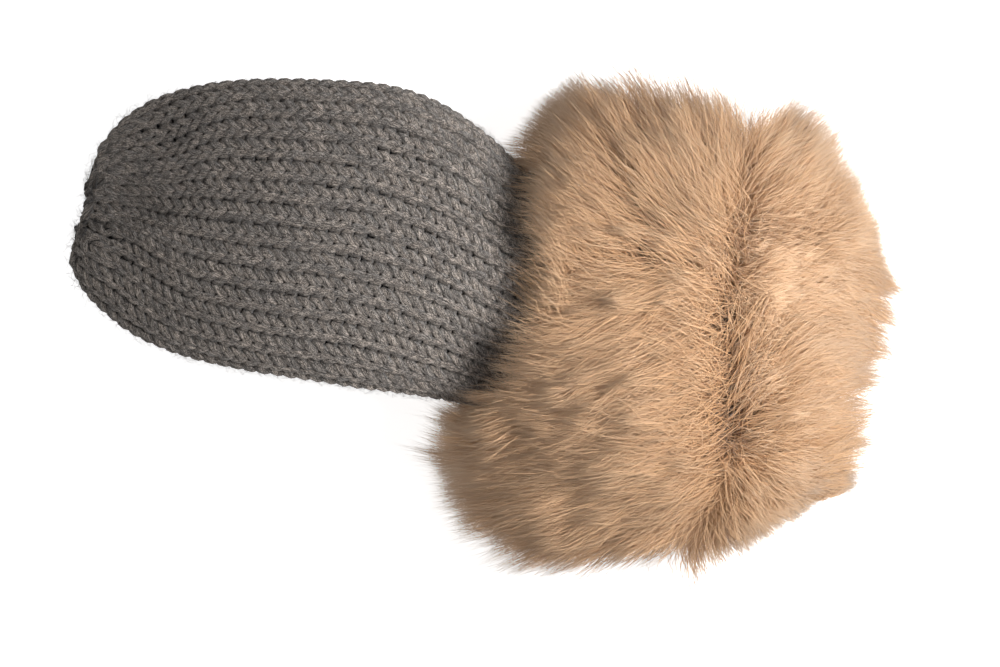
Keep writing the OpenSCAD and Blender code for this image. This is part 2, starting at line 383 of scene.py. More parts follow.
def sleeve_grid(start, end, grow):
    """The cuff's flattened sleeve, grown by an offset."""
    alongs = 60
    grid = np.repeat(sleeve_ring(grow)[:, None, :], alongs, axis=1)
    grid[..., 0] = np.linspace(start, end, alongs)[None, :]
    # Along runs from the arm to the hand, as on the hand, so that outward is the same side.
    return grid[:, ::-1]


# ---- Knitting ----


def tube(line, out, radius, closed, sides):
    """Points and faces of a yarn along a line. out is the fabric's outward direction at each point."""
    forward = np.roll(line, -1, axis=0) - np.roll(line, 1, axis=0)
    if not closed:
        forward[0], forward[-1] = line[1] - line[0], line[-1] - line[-2]
    forward = unit(forward)
    side = unit(np.cross(forward, out))
    lift = np.cross(side, forward)
    a = np.arange(sides) * TURN / sides
    ring = np.cos(a)[None, :, None] * side[:, None, :] + np.sin(a)[None, :, None] * lift[:, None, :]
    points = (line[:, None, :] + ring * radius[:, None, None]).reshape(-1, 3)
    count = len(line)
    i = np.arange(count if closed else count - 1)[:, None]
    k = np.arange(sides)[None, :]
    here, there = i * sides, (i + 1) % count * sides
    quads = np.stack([
        (here + k).ravel(),
        (here + (k + 1) % sides).ravel(),
        (there + (k + 1) % sides).ravel(),
        (there + k).ravel(),
    ], axis=1)
    faces = [quads]
    if not closed:
        faces.append(np.arange(sides)[None, ::-1])
        faces.append((count - 1) * sides + np.arange(sides)[None, :])
    return points, faces


def add_yarn(name, strands, sides=8):
    """One mesh from many yarns. Each strand is (line, out, radius, depth, closed)."""
    points, quads, ends, places, base = [], [], [], [], 0
    lanes = len(strands)
    for lane, (line, out, radius, _, closed) in enumerate(strands):
        p, faces = tube(line, out, radius, closed, sides)
        points.append(p)
        quads.append(faces[0] + base)
        ends += [f + base for f in faces[1:]]
        run = np.concatenate([[0], np.cumsum(np.linalg.norm(np.diff(line, axis=0), axis=1))])
        across = (lane + 0.08 + 0.84 * np.abs(2 * np.arange(sides) / sides - 1)) / lanes
        along = 0.01 + 0.98 * run / max(run[-1], 1e-6)
        places.append(np.stack([
            np.repeat(along, sides),
            np.tile(across, len(line)),
        ], axis=1))
        base += len(p)
    faces = [np.concatenate(quads)] + ([np.concatenate(ends)] if ends else [])
    obj = add_mesh(name, np.concatenate(points), faces)
    add_layout(obj, np.concatenate(places))
    values = yarn_values(strands, sides)
    for key, value in values.items():
        add_values(obj, key, value)
    return obj


def yarn_values(strands, sides):
    """Where each point is along its yarn and round it, for the wool's pattern, and how far it stands out of
    the fabric, for the wool's painted shade between stitches.
    """
    values = {"yarn_along": [], "yarn_y": [], "yarn_z": [], "yarn_height": []}
    start = 0.0
    a = np.arange(sides) * TURN / sides
    for line, _, radius, depth, _ in strands:
        run = np.concatenate([[0], np.cumsum(np.linalg.norm(np.diff(line, axis=0), axis=1))]) + start
        start = run[-1] + PATTERN_STEP
        twist = run[:, None] * TURN / PLY_PITCH + a[None, :]
        values["yarn_along"].append(np.repeat(run, sides))
        values["yarn_y"].append(np.cos(twist).ravel())
        values["yarn_z"].append(np.sin(twist).ravel())
        values["yarn_height"].append((depth[:, None] + radius[:, None] * np.sin(a)[None, :]).ravel())
    return {key: np.concatenate(value) for key, value in values.items()}


def knit(skin, courses, stitches, first=0, last=None, rib=0.0, hole=None, gauge=STITCH_WIDTH):
    """Courses of knit stitches on a skin. The points of the Vs lie toward the skin's start."""
    steps = LOOP_POINTS
    strands = []
    height = skin.length / courses
    for course in range(first, courses if last is None else last):
        share = (course + 0.5) / courses
        count = stitches
        # Where the skin is narrow, stitches are worked two together.
        while skin.girth_at(share) / count < CROWDED * gauge and count > FEWEST_STITCHES:
            count //= 2
        width = skin.girth_at(share) / count
        t = np.arange(count * steps) / steps
        stitch = np.floor(t).astype(int)
        phase = TURN * (t - stitch)
        noise = rng.normal(0, 1, (4, count))
        # Each stitch differs a little, and the difference fades in and out along it.
        fade = np.sin(phase / 2) ** 2
        gap = LOOP_GAP * np.sin(phase) * (1 - np.cos(phase)) / 2
        u = t + gap + LOOP_SWAY * np.sin(2 * phase) + UNEVEN_LEAN * noise[0][stitch] * fade
        v = -LOOP_RISE * np.cos(phase) * (1 + UNEVEN_RISE * noise[1][stitch] * fade)
        # Crowded stitches are thinner, and the last courses before the tip lie flatter.
        thin = np.clip(width / gauge, THINNEST, THICKEST)
        squeeze = np.sqrt(thin) * min(1, FLATTEST + FLATTENING * (courses - course))
        depth = (LOOP_ROUND * np.cos(phase) - LOOP_DEPTH * np.cos(2 * phase)) * squeeze
        if rib:
            depth = depth + rib * np.where(stitch % 2, -1, 1) * np.sin(phase / 2) ** 2
        at = (course + 0.5 + v) / courses
        turns = u / count
        at = np.clip(at, START_MARGIN / courses, 1 - TIP_MARGIN / courses)
        line = skin.place(turns, at, -KNIT_HALF + depth)
        out = skin.normal(turns, at)
        # The yarn is thinner at the bends than in the legs.
        legs = 0.8 + 0.28 * np.sin(phase) ** 2
        uneven = 1 + UNEVEN_YARN * noise[2][stitch] * fade
        radius = YARN_R * squeeze * min(1, height / COURSE_HEIGHT) * legs * uneven
        # The depth passed on, taken before the squeeze, sets how much painted shade the wool gets.
        strands += cut(line, out, radius, depth / squeeze, hole)
    return strands


def cut(line, out, radius, depth, hole):
    """The yarn whole, or the stretches of it that stay outside a round hole in the palm."""
    if hole is None:
        return [(line, out, radius, depth, True)]
    x, y, r, below = hole
    inside = (np.hypot(line[:, 0] - x, line[:, 1] - y) < r) & (line[:, 2] < below)
    if not inside.any():
        return [(line, out, radius, depth, True)]
    start = int(np.argmax(inside))
    line, out, radius, depth, inside = (
        np.roll(a, -start, axis=0) for a in (line, out, radius, depth, inside)
    )
    strands, run = [], []
    for i, hidden in enumerate(np.append(inside, True)):
        if not hidden:
            run.append(i)
            continue
        if len(run) > 2:
            strands.append((line[run], out[run], radius[run], depth[run], False))
        run = []
    return strands


def ring_yarn(centre, axis, ring_r, yarn_r, wave, waves):
    """A ring of yarn as one strand that waves in and out."""
    a = np.linspace(0, TURN, 96, endpoint=False)
    axis = unit(np.asarray(axis, float))
    first = unit(np.cross(axis, [0.3, 0.9, 0.2]))
    second = np.cross(axis, first)
    r = ring_r + wave * np.sin(waves * a)
    rise = wave * np.cos(waves * a)
    radial = np.cos(a)[:, None] * first + np.sin(a)[:, None] * second
    line = np.asarray(centre) + r[:, None] * radial + rise[:, None] * axis
    out = np.repeat(axis[None, :], len(a), axis=0)
    # A fixed depth, which sets how much painted shade the ring's wool gets.
    return (line, out, np.full(len(a), yarn_r), np.full(len(a), 0.9), True)


# ---- Cloth ----


def add_cloth(name, grid, thickness, rough):
    """A two-sided cloth on a grid of points, outward face first, slightly uneven."""
    rounds, alongs = grid.shape[:2]
    skin = Skin(grid)
    uneven = rng.normal(0, 1, (rounds, alongs))
    for _ in range(3):
        uneven = (np.roll(uneven, 1, 0) + np.roll(uneven, -1, 0) + 2 * uneven) / 4
        uneven[:, 1:-1] = (uneven[:, :-2] + uneven[:, 2:] + 2 * uneven[:, 1:-1]) / 4
    uneven *= rough / max(uneven.std(), 1e-6)
    outer = grid - skin.normals * np.abs(uneven)[..., None]
    inner = grid - skin.normals * (thickness + uneven)[..., None]
    points = np.concatenate([outer.reshape(-1, 3), inner.reshape(-1, 3)])
    i = np.arange(rounds)[:, None]
    j = np.arange(alongs - 1)[None, :]
    k = (i + 1) % rounds
    a, b, c, d = i * alongs + j, k * alongs + j, k * alongs + j + 1, i * alongs + j + 1
    front = np.stack([x.ravel() for x in (a, d, c, b)], axis=1)
    back = np.stack([x.ravel() for x in (a, b, c, d)], axis=1) + rounds * alongs
    faces = [front, back]
    for edge in (0, alongs - 1):
        near = np.arange(rounds) * alongs + edge
        far = np.roll(near, -1)
        band = np.stack([near, far, far + rounds * alongs, near + rounds * alongs], axis=1)
        faces.append(band if edge == 0 else band[:, ::-1])
    obj = add_mesh(name, points, faces)
    across = np.repeat(np.arange(rounds) / rounds, alongs)
    along = np.tile(np.linspace(0, 1, alongs), rounds)
    face = np.stack([across * 0.98 + 0.01, along * 0.48 + 0.01], axis=1)
    add_layout(obj, np.concatenate([face, face + [0, 0.5]]))
    return obj


# The binding's section: x and how far it stands off the sleeve's inner face. It folds round the edge.
BINDING_SECTION = [
    (122.9, 3.0),
    (125.2, 3.15),
    (127.3, 2.95),
    (128.3, 2.3),
    (128.6, 0.9),
    (128.3, -0.5),
    (127.3, -1.15),
    (125.2, -1.3),
    (122.9, -1.2),
    (122.9, -0.15),
    (126.9, -0.15),
    (127.1, 0.9),
    (126.9, 1.95),
    (122.9, 1.95),
]


def add_binding(name):
    """A tape folded over the cuff's open edge, slightly puckered by its stitches."""
    rounds, count = SLEEVE_ROUNDS, len(BINDING_SECTION)
    turns = np.arange(rounds) / rounds
    # Small puckers and a slower wave.
    pucker = 0.14 * np.sin(30 * TURN * turns) + 0.1 * np.sin(11 * TURN * turns + 1)
    grid = np.empty((rounds, count, 3))
    for j, (x, grow) in enumerate(BINDING_SECTION):
        inner = abs(grow - 0.9) < 2
        grid[:, j] = sleeve_ring(grow)
        grid[:, j, 0] = x + (pucker if inner else 1.5 * pucker)
    i = np.arange(rounds)[:, None]
    j = np.arange(count)[None, :]
    k, m = (i + 1) % rounds, (j + 1) % count
    corners = (i * count + j, i * count + m, k * count + m, k * count + j)
    quads = np.stack([corner.ravel() for corner in corners], axis=1)
    obj = add_mesh(name, grid.reshape(-1, 3), [quads])
    across = np.repeat(turns * 0.98 + 0.01, count)
    along = np.tile(0.01 + 0.98 * np.abs(2 * np.arange(count) / count - 1), rounds)
    add_layout(obj, np.stack([across, along], axis=1))
    return obj


# ---- Fur ----

FUR_LOCKS = 1700
HAIRS_PER_LOCK = 64
HAIRS_PER_PIECE = 8400
FUR_START = 31.0  # where the pile's roots start and end along the cuff
FUR_ROOTS_END = 125.5
FUR_END = 146.0  # where the longest tips end, past the cuff's opening
FUR_FRONT = 46.0  # locks rooted before this are left on no body, as the knit's wrist half is
FUR_HALF_WIDTH = 94.5  # no hair stands further out to the side
HAIR_STANDS_OUT = 1.17  # the furthest a tip stands out, as a share of the way to the outline
PARTING_SLANT = 13.0  # how far the parting slants each way across the back of the cuff
GROOVE_WIDTH = 4.5
# How many locks are pointed and how many hairs are loose or stray, and how far the tips of each kind spread.
POINTED_SHARE = 0.3
LOOSE_SHARE = 0.3
STRAY_SHARE = 0.07
POINTED_SPREAD = 0.9
LOCK_SPREAD = 3.0
LOOSE_SPREAD = 8.0
PILE_GIRTH_R = 62.0  # mean radius of the pile, which turns a spread in millimetres into an angle
STRAIGHT_SPREAD = 2.6  # how evenly the roots spread over the sleeve's straight parts

# Half widths of the pile's outline on the outer side and the thumb side, and its height, along the cuff.
OUTLINE_X = [-8, 3, 12, 25, 45, 75, 98, 107, 122, 132, 139]
OUTLINE_OUTER = [48, 63, 82, 89, 91, 93, 93, 90, 74, 55, 37]
OUTLINE_THUMB = [61, 72, 83, 90, 94, 94, 88, 79, 61, 47, 33]
OUTLINE_TOP = [32, 38, 46, 51, 54, 54, 48, 47, 42, 36, 30]


def root_place(x, angle):
    """A place on the cuff's backing and the direction away from it.

    Angle 0 is the outer side, and a quarter turn is the top.
    """
    r = SLEEVE_HALF_HEIGHT + BACKING_THICKNESS
    middle = SLEEVE_HALF_WIDTH - SLEEVE_HALF_HEIGHT
    out = np.stack([np.zeros_like(x), np.cos(angle), np.sin(angle)], axis=-1)
    # Roots spread over the straight parts of the sleeve as well as round its ends.
    y = r * np.cos(angle) + middle * np.tanh(np.cos(angle) * STRAIGHT_SPREAD) / math.tanh(STRAIGHT_SPREAD)
    return np.stack([x, y, AXIS_Z + r * np.sin(angle)], axis=-1), out


def outline_place(x, angle):
    """A place on the pile's outline at that angle, before the underside is flattened."""
    outer = np.interp(x, OUTLINE_X, OUTLINE_OUTER)
    thumb = np.interp(x, OUTLINE_X, OUTLINE_THUMB)
    height = np.interp(x, OUTLINE_X, OUTLINE_TOP)
    c, s = np.cos(angle), np.sin(angle)
    y = np.where(c > 0, outer, thumb) * signed_power(c, 0.92)
    return np.stack([x, y, AXIS_Z + height * signed_power(s, 0.92)], axis=-1)


def front_limit(angle):
    """The least x a tip reaches. The pile covers least of the hand's back and most of the thumb's side."""
    c, s = np.cos(angle), np.sin(angle)
    top, under = np.maximum(s, 0) ** 2, np.maximum(-s, 0) ** 2
    outer, thumb = np.maximum(c, 0) ** 2, np.maximum(-c, 0) ** 2
    return 15 * top + 4 * under + 5 * outer - 4 * thumb


def comb_locks(count):
    """Locks of long hair combed from the parting to both ends: where each is rooted and where it leads."""
    x = rng.uniform(FUR_START + 0.5, FUR_ROOTS_END - 0.5, count)
    angle = rng.uniform(0, TURN, count)
    parting = PARTING_X - PARTING_SLANT * np.cos(angle) * np.maximum(np.sin(angle), 0) ** 0.5
    away = x - parting + rng.normal(0, 1.2, count)
    # A narrow groove stays bare on the hand side of the parting.
    groove = (away > -GROOVE_WIDTH) & (away < 0) & (np.sin(angle) > 0.2)
    x = np.where(groove, x - GROOVE_WIDTH, x)
    away = np.where(groove, away - GROOVE_WIDTH, away)
    side = np.where(away < 0, -1.0, 1.0)
    near = 1 - smooth_step(np.abs(away) / 13)
    # Hair beside the parting stands up; hair further off lies flatter and reaches further.
    reach = np.where(side < 0, 25 + 14 * smooth_step(-away / 50), 20 + 10 * smooth_step(away / 30))
    reach *= rng.uniform(0.85, 1.15, count) * (1 - 0.8 * near * rng.uniform(0, 1, count))
    # On the outer side the pile stands out more than it lies along the cuff.
    reach *= 1 - 0.65 * np.maximum(np.cos(angle), 0) ** 1.5 * smooth_step((x - 36) / 30)
    # The share of the way to the pile's outline. A few locks lie deeper.
    share = 0.96 + 0.05 * np.sin(3 * angle + x / 11) - 0.24 * rng.uniform(0, 1, count) ** 3
    # Hair on the arm side of the parting stands over the hair on the hand side.
    share = np.where(side > 0, np.maximum(share, 1.0 * near), share * (1 - 0.22 * near))
    # Near the hand the lowest hair lies on the knit.
    low = rng.uniform(0, 1, count) < 0.6 * (1 - smooth_step((x - FUR_START) / 17))
    share = np.where(low, rng.uniform(0.04, 0.42, count), share)
    swirl = 0.2 * np.sin(x / 14 + 2 * angle) + 0.13 * np.sin(5 * angle - x / 9 + 1)
    swirl = swirl + rng.normal(0, 0.06, count)
    tone = rng.normal(0, 1, count)
    # Some locks draw together to a point; they stand out furthest.
    pointed = rng.uniform(0, 1, count) < POINTED_SHARE
    share = np.where(pointed, share * rng.uniform(1.02, 1.22, count), share)
    return SimpleNamespace(
        x=x, angle=angle, side=side, reach=reach, share=share, swirl=swirl, tone=tone, pointed=pointed
    )


def hair_tips(locks, lock):
    """Where the hairs of each lock end: x, angle, share of the way to the outline, and which are stray."""
    total = len(lock)
    spread = np.abs(rng.normal(0, 1, total))
    # Some hairs lie loose between the locks and fill the gaps.
    loose = rng.uniform(0, 1, total) < LOOSE_SHARE
    lock_spread = np.where(locks.pointed, POINTED_SPREAD, LOCK_SPREAD)[lock]
    scatter = np.where(loose, LOOSE_SPREAD, lock_spread * (0.4 + 0.8 * spread))
    x = (locks.x + locks.side * locks.reach)[lock] + rng.normal(0, 1, total) * scatter
    angle = (locks.angle + locks.swirl)[lock] + rng.normal(0, 1, total) * scatter / PILE_GIRTH_R
    # No hair passes the pile's ends; those that would are shorter, each by its own amount.
    limit = front_limit(locks.angle) + rng.normal(0, 3.5, len(locks.x)) - np.where(locks.pointed, 4, 0)
    least = limit[lock] + rng.normal(0, 2, total)
    x = np.where(x < least, least + rng.uniform(0, 4, total), x)
    most = FUR_END - 8 * rng.uniform(0, 1, len(locks.x))[lock] ** 1.5 - 6 * rng.uniform(0, 1, total) ** 2
    x = np.minimum(x, most)
    # The hairs of a lock end at different lengths, so that its edge is thin.
    share = locks.share[lock] * (1.04 - 0.27 * rng.uniform(0, 1, total) ** 0.8)
    stray = rng.uniform(0, 1, total) < STRAY_SHARE
    share = np.minimum(np.where(stray, share * 1.07, share), HAIR_STANDS_OUT)
    return x, angle, share, stray


def fur_strands(lock_count, per_lock):
    """The hairs of all locks, combed.

    Returns lines of five points, a width, a tone and where the hair's lock is rooted along the cuff.
    """
    locks = comb_locks(lock_count)
    lock = np.repeat(np.arange(lock_count), per_lock)
    total = len(lock)
    root_x = np.clip(locks.x[lock] + rng.normal(0, 4.5, total), FUR_START, FUR_ROOTS_END)
    root_angle = locks.angle[lock] + rng.normal(0, 0.1, total)
    tip_x, tip_angle, tip_share, stray = hair_tips(locks, lock)

    root, out = root_place(root_x, root_angle)
    base, _ = root_place(tip_x, tip_angle)
    tip = base + (outline_place(tip_x, tip_angle) - base) * tip_share[:, None]
    tip += rng.normal(0, 0.8, (total, 3))
    gap = np.linalg.norm(tip - root, axis=1, keepdims=True)
    end_on = np.stack([locks.side[lock], np.zeros(total), np.zeros(total)], axis=1)
    # Hair at the sides of the pile turns outward more than hair on top.
    sideways = np.abs(np.cos(locks.angle[lock]))[:, None] ** 2
    flow = unit(end_on * (1.05 - 0.5 * sideways) + (0.5 + 0.4 * sideways) * unit(tip - root))
    first = root + out * gap * 0.4
    second = tip - flow * gap * 0.36
    t = np.array([0, 0.27, 0.52, 0.77, 1.0])[None, :, None]
    line = (
        (1 - t) ** 3 * root[:, None]
        + 3 * t * (1 - t) ** 2 * first[:, None]
        + 3 * t**2 * (1 - t) * second[:, None]
        + t**3 * tip[:, None]
    )
    # Hairs of one lock wave together, and each a little on its own.
    wave = rng.normal(0, 0.9, (lock_count, 5, 3))[lock] + rng.normal(0, 0.4, line.shape)
    line += wave * np.array([0, 0.6, 1, 1, 0.7])[None, :, None]
    # The underside lies flat on the surface, and the sides have a limit that differs from hair to hair.
    floor = 0.35 + 1.6 * rng.uniform(0, 1, total)[:, None] ** 2
    line[..., 2] = np.maximum(line[..., 2], floor)
    wall = FUR_HALF_WIDTH - 4 * rng.uniform(0, 1, total)[:, None] ** 2
    line[..., 1] = np.clip(line[..., 1], -wall, wall)
    width = rng.uniform(0.085, 0.15, total) * np.where(stray, 0.65, 1)
    strand_tone = locks.tone[lock] * 0.42 + rng.normal(0, 0.5, total)
    return line, width, strand_tone, locks.x[lock]


def add_fur(name, line, width, tone):
    """Closed three-sided hairs that taper to a point."""
    total, levels = line.shape[:2]
    forward = unit(np.gradient(line, axis=1))
    helper = unit(rng.normal(0, 1, (total, 1, 3)))
    first = unit(np.cross(forward, helper))
    second = np.cross(forward, first)
    taper = np.array([0.9, 1.0, 0.9, 0.62])[None, :, None, None]
    a = np.arange(3) * TURN / 3
    ring = (
        np.cos(a)[None, None, :, None] * first[:, :-1, None, :]
        + np.sin(a)[None, None, :, None] * second[:, :-1, None, :]
    )
    rings = line[:, :-1, None, :] + ring * width[:, None, None, None] * taper
    points = np.concatenate([rings.reshape(total, -1, 3), line[:, -1:, :]], axis=1)
    each = points.shape[1]
    quads, ends = [], []
    for level in range(levels - 2):
        for k in range(3):
            n = (k + 1) % 3
            quads.append([level * 3 + k, level * 3 + n, level * 3 + 3 + n, level * 3 + 3 + k])
    top = (levels - 2) * 3
    for k in range(3):
        ends.append([top + k, top + (k + 1) % 3, each - 1])
    ends.append([2, 1, 0])
    start = (np.arange(total) * each)[:, None, None]
    quads = (start + np.array(quads)[None]).reshape(-1, 4)
    ends = (start + np.array(ends)[None]).reshape(-1, 3)
    obj = add_mesh(name, points.reshape(-1, 3), [quads, ends])
    height = np.repeat(np.linspace(0, 1, levels), [3] * (levels - 1) + [1])
    shade = np.clip(0.5 + tone * 0.16, 0.02, 0.98)
    add_layout(obj, np.stack([np.repeat(shade, each), np.tile(0.02 + 0.96 * height, total)], axis=1))
    return obj


# ---- Materials ----


class Nodes:
    """A short way to build a material's nodes."""

    def __init__(self, name, **settings):
        self.material = bpy.data.materials.new(name)
        self.material.use_nodes = True
        self.tree = self.material.node_tree
        self.shader = self.tree.nodes["Principled BSDF"]
        for key, value in settings.items():
            self.shader.inputs[key.replace("_", " ")].default_value = value

    def add(self, kind, inputs=None, **settings):
        node = self.tree.nodes.new(kind)
        for key, value in settings.items():
            setattr(node, key, value)
        for key, value in (inputs or {}).items():
            if isinstance(value, bpy.types.NodeSocket):
                self.tree.links.new(value, node.inputs[key])
            else:
                node.inputs[key].default_value = value
        return node

    def attribute(self, name):
        return self.add("ShaderNodeAttribute", attribute_name=name).outputs["Fac"]

    def math(self, operation, a, b=0.0, c=0.0):
        return self.add("ShaderNodeMath", {0: a, 1: b, 2: c}, operation=operation).outputs[0]

    def vector(self, x, y, z):
        return self.add("ShaderNodeCombineXYZ", {0: x, 1: y, 2: z}).outputs[0]

    def noise(self, vector, scale, detail=2.0, roughness=0.5):
        inputs = {"Vector": vector, "Scale": scale, "Detail": detail, "Roughness": roughness}
        return self.add("ShaderNodeTexNoise", inputs).outputs["Fac"]

    def ramp(self, value, stops):
        node = self.add("ShaderNodeValToRGB", {"Fac": value})
        ramp = node.color_ramp
        while len(ramp.elements) < len(stops):
            ramp.elements.new(0.5)
        for element, (place, colour) in zip(ramp.elements, stops, strict=True):
            element.position = place
            element.color = (*colour, 1)
        return node.outputs["Color"]

    def multiply(self, a, b):
        """One colour times another."""
        node = self.add("ShaderNodeMix", {0: 1.0, 6: a, 7: b}, data_type="RGBA", blend_type="MULTIPLY")
        return node.outputs[2]

    def bump(self, height, distance):
        node = self.add("ShaderNodeBump", {"Height": height, "Distance": distance})
        self.tree.links.new(node.outputs[0], self.shader.inputs["Normal"])

    def colour(self, socket):
        self.tree.links.new(socket, self.shader.inputs["Base Color"])


def wool():
    """Heather wool: plies that twist along the yarn, light and dark fibres, brown flecks."""
    n = Nodes("wool", Roughness=0.92, Sheen_Weight=0.22, Sheen_Roughness=0.5)
    n.shader.inputs["Specular IOR Level"].default_value = 0.18
    along = n.attribute("yarn_along")
    y, z = n.attribute("yarn_y"), n.attribute("yarn_z")
    fibres_at = n.vector(n.math("MULTIPLY", along, 0.07), y, z)
    patches_at = n.vector(
        n.math("MULTIPLY", along, 0.12), n.math("MULTIPLY", y, 0.3), n.math("MULTIPLY", z, 0.3)
    )
    fibres = n.noise(fibres_at, 5.5, 4.0, 0.65)
    patches = n.noise(patches_at, 1.6, 2.0)
    greys = n.ramp(fibres, [
        (0.37, (0.024, 0.021, 0.019)),
        (0.50, (0.158, 0.138, 0.123)),
        (0.62, (0.60, 0.535, 0.48)),
    ])
    warm = n.ramp(patches, [(0.36, (0.78, 0.79, 0.80)), (0.64, (1.2, 1.16, 1.12))])
    # Painted shade: wool that lies deep between the stitches is painted darker, as the shade between stitches
    # would make it.
    shade = n.ramp(
        n.math("MULTIPLY_ADD", n.attribute("yarn_height"), 0.18, 0.5),
        [(0.0, (0.13, 0.12, 0.11)), (0.46, (0.36, 0.35, 0.34)), (0.78, (1.0, 1.0, 1.0))],
    )
    n.colour(n.multiply(n.multiply(greys, warm), shade))
    ply = n.math("SINE", n.math("MULTIPLY", n.math("ARCTAN2", y, z), 3.0))
    height = n.math("ADD", n.math("MULTIPLY", ply, 0.35), fibres)
    n.bump(height, 0.0009)
    return n.material


def fur():
    """Long pile: dark at the root, pale at the tip, each hair its own tone."""
    n = Nodes("fur", Roughness=0.5, Sheen_Weight=0.15)
    n.shader.inputs["Specular IOR Level"].default_value = 0.35
    layout = n.add("ShaderNodeUVMap", uv_map="OFBake").outputs[0]
    split = n.add("ShaderNodeSeparateXYZ", {0: layout})
    tone, height = split.outputs[0], split.outputs[1]
    body = n.ramp(height, [
        (0.0, (0.46, 0.245, 0.12)),
        (0.4, (0.58, 0.34, 0.175)),
        (0.75, (0.67, 0.43, 0.25)),
        (1.0, (0.79, 0.565, 0.38)),
    ])
    shift = n.ramp(tone, [(0.1, (0.72, 0.66, 0.6)), (0.5, (1.0, 1.0, 1.0)), (0.9, (1.12, 1.16, 1.2))])
    n.colour(n.multiply(body, shift))
    return n.material


def fuzz():
    """Stray wool fibres, a little lighter than the yarn."""
    n = Nodes("wool_fuzz", Roughness=0.9)
    n.shader.inputs["Specular IOR Level"].default_value = 0.1
    n.shader.inputs["Base Color"].default_value = (0.21, 0.195, 0.18, 1)
    return n.material


def cloth(name, dark, light, scale):
    """A plain woven or knitted cloth with a fine pattern in the object's own space."""
    n = Nodes(name, Roughness=0.9, Sheen_Weight=0.2)
    n.shader.inputs["Specular IOR Level"].default_value = 0.15
    place = n.add("ShaderNodeTexCoord").outputs["Object"]
    fine = n.noise(place, scale, 4.0, 0.6)
    n.colour(n.ramp(fine, [(0.3, dark), (0.7, light)]))
    n.bump(fine, 0.0006)
    return n.material


def floor_material():
    n = Nodes("studio_floor", Roughness=0.9, Emission_Strength=0.8)
    n.shader.inputs["Base Color"].default_value = (0.93, 0.93, 0.93, 1)
    n.shader.inputs["Emission Color"].default_value = (1, 1, 1, 1)
    return n.material


def wear(obj, material, body):
    obj.data.materials.clear()
    obj.data.materials.append(material)
    if body:
        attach(obj, body)
    return obj


# ---- Studio ----

LOOK_AT = (12.9, -12.4)  # middle of the picture
TILT = math.radians(13.5)
LENS = 100.0
PICTURE_WIDTH = 345.0
SENSOR_WIDTH = 36.0
WORLD_STRENGTH = 0.3


def add_light(name, place, aim, size, power, spread):
    """A round lamp that the camera doesn't see. Places are in metres and the spread is in degrees."""
    data = bpy.data.lights.new(name, "AREA")
    data.shape = "DISK"
    data.size = size
    data.energy = power
    data.spread = math.radians(spread)
    light = bpy.data.objects.new(name, data)
    bpy.context.scene.collection.objects.link(light)
    light.location = place
    direction = Vector(aim) - Vector(place)
    light.visible_camera = False
    light.rotation_mode = "QUATERNION"
    light.rotation_quaternion = direction.to_track_quat("-Z", "Y")


def studio():
    scene = bpy.context.scene
    data = bpy.data.cameras.new("camera")
    data.lens = LENS
    data.sensor_width = SENSOR_WIDTH
    camera = bpy.data.objects.new("camera", data)
    scene.collection.objects.link(camera)
    height = AXIS_Z + PICTURE_WIDTH * LENS / SENSOR_WIDTH
    camera.location = (LOOK_AT[0] * MM, LOOK_AT[1] * MM, height * MM)
    camera.rotation_euler = (0, 0, TILT)
    scene.camera = camera

    bpy.ops.mesh.primitive_plane_add(size=12)
    floor = bpy.context.object
    floor.name = "floor"
    floor.data.materials.append(floor_material())

    world = bpy.data.worlds.new("studio")
    scene.world = world
    world.use_nodes = True
    world.node_tree.nodes["Background"].inputs[0].default_value = (1, 1, 1, 1)
    world.node_tree.nodes["Background"].inputs[1].default_value = WORLD_STRENGTH
    add_light("key", place=(0.25, 0.07, 0.52), aim=(0.075, 0.01, 0.08), size=0.14, power=0.37, spread=47)
    scene.view_settings.view_transform = "Standard"


# ---- Building ----


def bend_with_wrist(obj):
    """Bakes a soft piece's placement into its points, and leaves it on no body."""
    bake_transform(obj)


def build_hand(material, skin):
    """The hand knitted in two halves, and the yarn drawn through the last stitches."""
    courses = round(skin.length / COURSE_HEIGHT)
    hole = (THUMB_X, THUMB_Y, HOLE_R + 1.2, AXIS_Z)
    split = courses // 2
    wrist_half = add_yarn("hand_knit_wrist", knit(skin, courses, HAND_STITCHES, 0, split, hole=hole))
    finger_half = add_yarn("hand_knit_fingers", knit(skin, courses, HAND_STITCHES, split, courses - 1))
    wear(wrist_half, material, None)
    bend_with_wrist(wrist_half)
    wear(finger_half, material, "hand")
    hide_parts("hand_shell")

    tip = np.array([-134.2, -4.0, AXIS_Z + 0.2])
    gather = add_yarn("tip_gather_yarn", [
        ring_yarn(tip, (-1, 0, 0), ring_r=1.3, yarn_r=1.2, wave=0.15, waves=5),
        ring_yarn(tip - [0.9, 0, 0], (-1, 0.1, 0.1), ring_r=3.6, yarn_r=1.3, wave=0.25, waves=4),
    ])
    wear(gather, material, "hand")
    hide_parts("hand_tip_gather")


def build_thumb_hole(material):
    """Two rounds of yarn at the edge of the thumb's hole."""
    edge_z = THUMB_Z + THUMB_BEND_R
    rounds = [(THUMB_X, THUMB_Y, edge_z + rise) for rise in (1.9, 4.4)]
    edge = add_yarn("thumb_hole_yarn", [
        ring_yarn(centre, (0, 0, 1), ring_r=HOLE_R + 1.5, yarn_r=1.25, wave=0.25, waves=14)
        for centre in rounds
    ])
    wear(edge, material, "hand")
    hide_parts("thumb_hole_edge")


def build_thumb(material, skin):
    """The knitted thumb and the yarn drawn through its last stitches."""
    courses = round(skin.length / COURSE_HEIGHT)
    thumb = add_yarn("thumb_knit", knit(skin, courses, THUMB_STITCHES))
    wear(thumb, material, "thumb")
    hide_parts("thumb_shell")
    end = (THUMB_X - THUMB_REACH + 1.6, THUMB_Y, THUMB_Z)
    drawn = ring_yarn(end, (1, 0, 0), ring_r=1.8, yarn_r=1.0, wave=0.25, waves=4)
    gather = add_yarn("thumb_gather_yarn", [drawn])
    wear(gather, material, "thumb")
    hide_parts("thumb_tip_gather")


